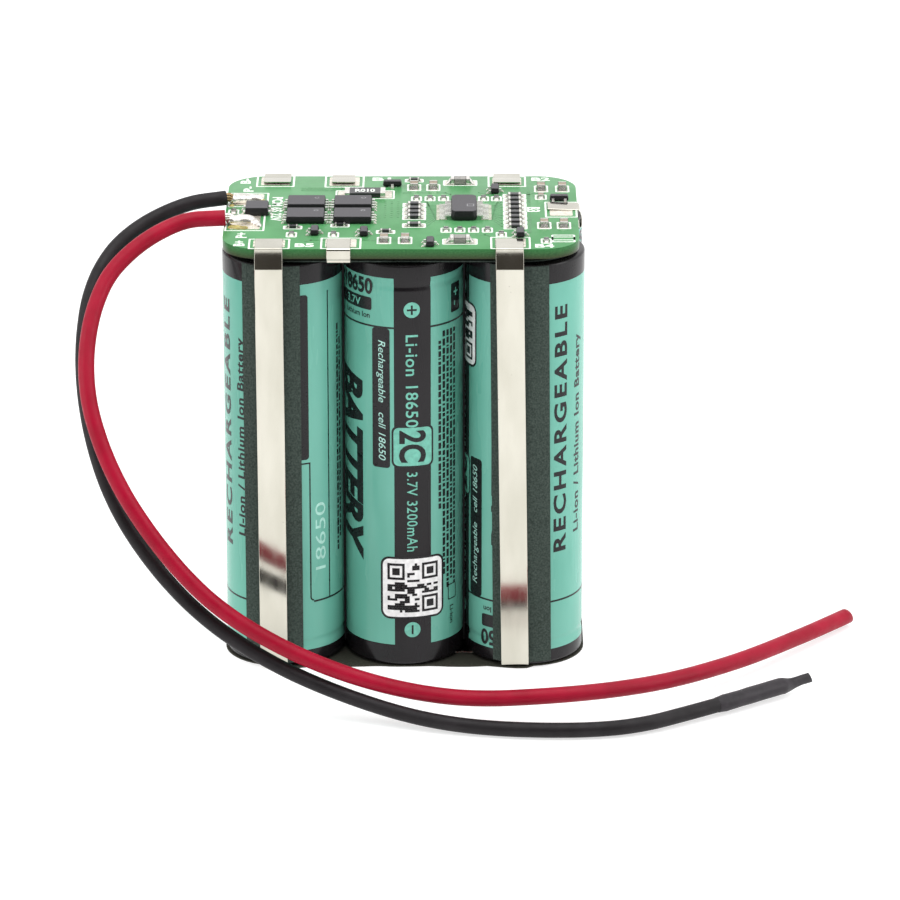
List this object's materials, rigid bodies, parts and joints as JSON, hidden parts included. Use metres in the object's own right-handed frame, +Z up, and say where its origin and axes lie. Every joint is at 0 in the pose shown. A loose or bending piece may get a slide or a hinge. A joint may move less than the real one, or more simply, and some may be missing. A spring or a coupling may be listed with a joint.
{
  "type": "battery pack",
  "caption": "Block of round lithium-ion cells in series, joined by nickel strips, with a protection board on top and a red and a black lead.",
  "frame": {"origin": "middle of the cells' footprint on the underside of the base sheet, the plane the pack rests on", "axes": "+Z up along the cells, +X to the right of the front along the row of three, front face at -Y"},
  "size_m": [0.1208, 0.0668, 0.0708],
  "materials": {
    "shrink_film": "thin glossy PVC shrink film, teal with black printing",
    "can_steel": "nickel-plated steel, satin",
    "electrode_roll": "wound coated foil and separator, matte",
    "gasket_plastic": "moulded polypropylene",
    "nickel": "bright rolled nickel strip with light scuffs",
    "insulating_paper": "dark green-grey fish paper, fine grain, matte",
    "board_laminate": "green solder mask over glass-epoxy laminate",
    "moulded_black": "black moulding compound, finely pitted",
    "resistor_body": "black coated ceramic with tinned ends",
    "solder": "bright tin solder",
    "tinned_copper": "fine copper strands, tinned at the ends",
    "red_silicone": "crimson silicone, soft sheen",
    "black_silicone": "black silicone, soft sheen",
    "heat_shrink": "black heat-shrink tube, satin"
  },
  "bodies": {
    "pack": {"front_left_can": "can_steel", "front_left_winding": "electrode_roll", "front_left_gasket": "gasket_plastic", "front_left_cap": "can_steel", "front_left_sleeve": "shrink_film", "front_middle_can": "can_steel", "front_middle_winding": "electrode_roll", "front_middle_gasket": "gasket_plastic", "front_middle_cap": "can_steel", "front_middle_sleeve": "shrink_film", "front_right_can": "can_steel", "front_right_winding": "electrode_roll", "front_right_gasket": "gasket_plastic", "front_right_cap": "can_steel", "front_right_sleeve": "shrink_film", "rear_left_can": "can_steel", "rear_left_winding": "electrode_roll", "rear_left_gasket": "gasket_plastic", "rear_left_cap": "can_steel", "rear_left_sleeve": "shrink_film", "rear_middle_can": "can_steel", "rear_middle_winding": "electrode_roll", "rear_middle_gasket": "gasket_plastic", "rear_middle_cap": "can_steel", "rear_middle_sleeve": "shrink_film", "rear_right_can": "can_steel", "rear_right_winding": "electrode_roll", "rear_right_gasket": "gasket_plastic", "rear_right_cap": "can_steel", "rear_right_sleeve": "shrink_film", "link_b1": "nickel", "link_b2": "nickel", "link_b3": "nickel", "link_b4": "nickel", "link_b5": "nickel", "riser_b_minus": "nickel", "riser_b2": "nickel", "riser_b4": "nickel", "riser_b_plus": "nickel", "paper_front_left": "insulating_paper", "paper_front_right": "insulating_paper", "paper_rear_left": "insulating_paper", "paper_rear_right": "insulating_paper", "top_sheet": "insulating_paper", "base_sheet": "insulating_paper", "circuit_board": "board_laminate", "mosfet_1": "moulded_black", "mosfet_2": "moulded_black", "mosfet_3": "moulded_black", "mosfet_4": "moulded_black", "control_chip": "moulded_black", "clamp_diode": "moulded_black", "shunt_resistor": "resistor_body", "solder_red": "solder", "solder_black": "solder"},
    "leads": {"red_insulation": "red_silicone", "red_conductor": "tinned_copper", "black_insulation": "black_silicone", "black_conductor": "tinned_copper", "black_end_sleeve": "heat_shrink"}
  },
  "joints": [
    {"name": "leads_lift", "type": "hinge", "parent": "pack", "child": "leads", "pos_m": [-0.028, -0.0024, 0.0697], "axis": [0, -1, 0], "range_deg": [0, 35]}
  ]
}
